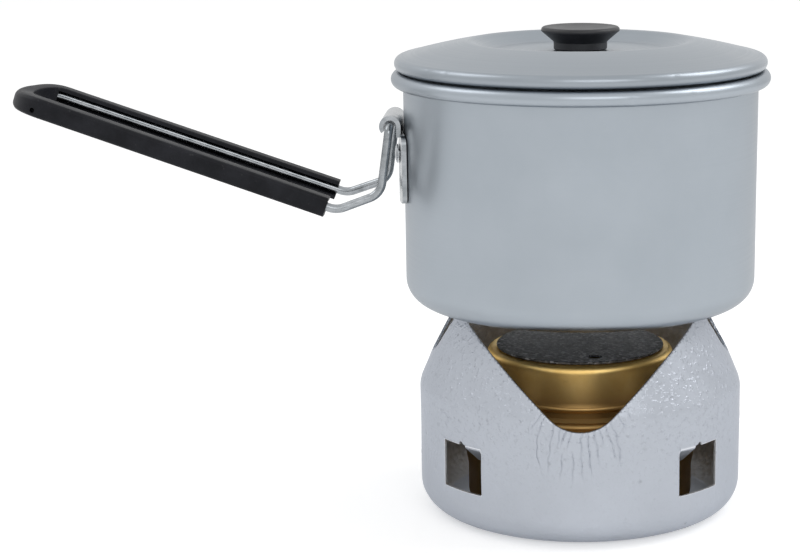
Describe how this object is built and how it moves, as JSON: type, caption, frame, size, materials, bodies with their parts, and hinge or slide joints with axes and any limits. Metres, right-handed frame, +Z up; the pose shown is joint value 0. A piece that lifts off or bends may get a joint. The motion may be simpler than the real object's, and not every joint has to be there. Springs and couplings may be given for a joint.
{
  "type": "storm cooker",
  "caption": "camping storm cooker: notched, vented aluminium windshield stand round a brass spirit burner with a simmer ring, carrying a lidded saucepan with a fold-over wire handle",
  "frame": {"origin": "centre of the stand's flat floor, on its underside, where the cooker rests on the ground", "axes": "+Z up along the stand, burner, pot and lid, which share one axis; the stand's front V faces -Y; the handle points to -X"},
  "size_m": [0.2409, 0.1202, 0.156],
  "materials": {
    "stand_aluminium": "bare drawn aluminium sheet, satin, with fine draw lines and small dents",
    "pot_aluminium": "bare spun aluminium, fine satin, darker inside the rolls",
    "brass": "spun brass, semi-bright with brown tarnish",
    "wick_fibre": "packed absorbent fibre",
    "cover_coating": "dark grey granular heat-proof coating on sheet",
    "zinc_steel": "bright zinc-plated steel wire and sheet",
    "rivet_aluminium": "plain aluminium rivet",
    "black_plastic": "black moulded heat-resistant plastic, satin"
  },
  "bodies": {
    "stand": {"stand_shell": "stand_aluminium"},
    "burner": {"burner_cup": "brass", "burner_collar": "brass", "burner_wick": "wick_fibre"},
    "ring": {"simmer_ring": "brass", "cover_rivet": "zinc_steel"},
    "cover": {"simmer_cover": "cover_coating"},
    "pot": {"pot_body": "pot_aluminium", "handle_bracket": "zinc_steel", "bracket_rivet_near": "rivet_aluminium", "bracket_rivet_far": "rivet_aluminium"},
    "handle": {"handle_wire": "zinc_steel", "handle_grip": "black_plastic"},
    "lid": {"lid_shell": "pot_aluminium", "lid_knob": "black_plastic", "knob_washer": "zinc_steel", "knob_screw": "zinc_steel"}
  },
  "joints": [
    {"name": "burner_lift", "type": "slide", "parent": "stand", "child": "burner", "axis": [0, 0, 1], "range_m": [0, 0.005]},
    {"name": "ring_lift", "type": "slide", "parent": "burner", "child": "ring", "axis": [0, 0, 1], "range_m": [0, 0.005]},
    {"name": "cover_swing", "type": "hinge", "parent": "ring", "child": "cover", "pos_m": [0, 0.024, 0.0528], "axis": [0, 0, 1], "range_deg": [0, 35]},
    {"name": "pot_lift", "type": "slide", "parent": "stand", "child": "pot", "axis": [0, 0, 1], "range_m": [0, 0.09]},
    {"name": "handle_fold", "type": "hinge", "parent": "pot", "child": "handle", "pos_m": [-0.0599, 0, 0.1259], "axis": [0, 1, 0], "range_deg": [-10, 160]},
    {"name": "lid_lift", "type": "slide", "parent": "pot", "child": "lid", "axis": [0, 0, 1], "range_m": [0, 0.06]}
  ]
}
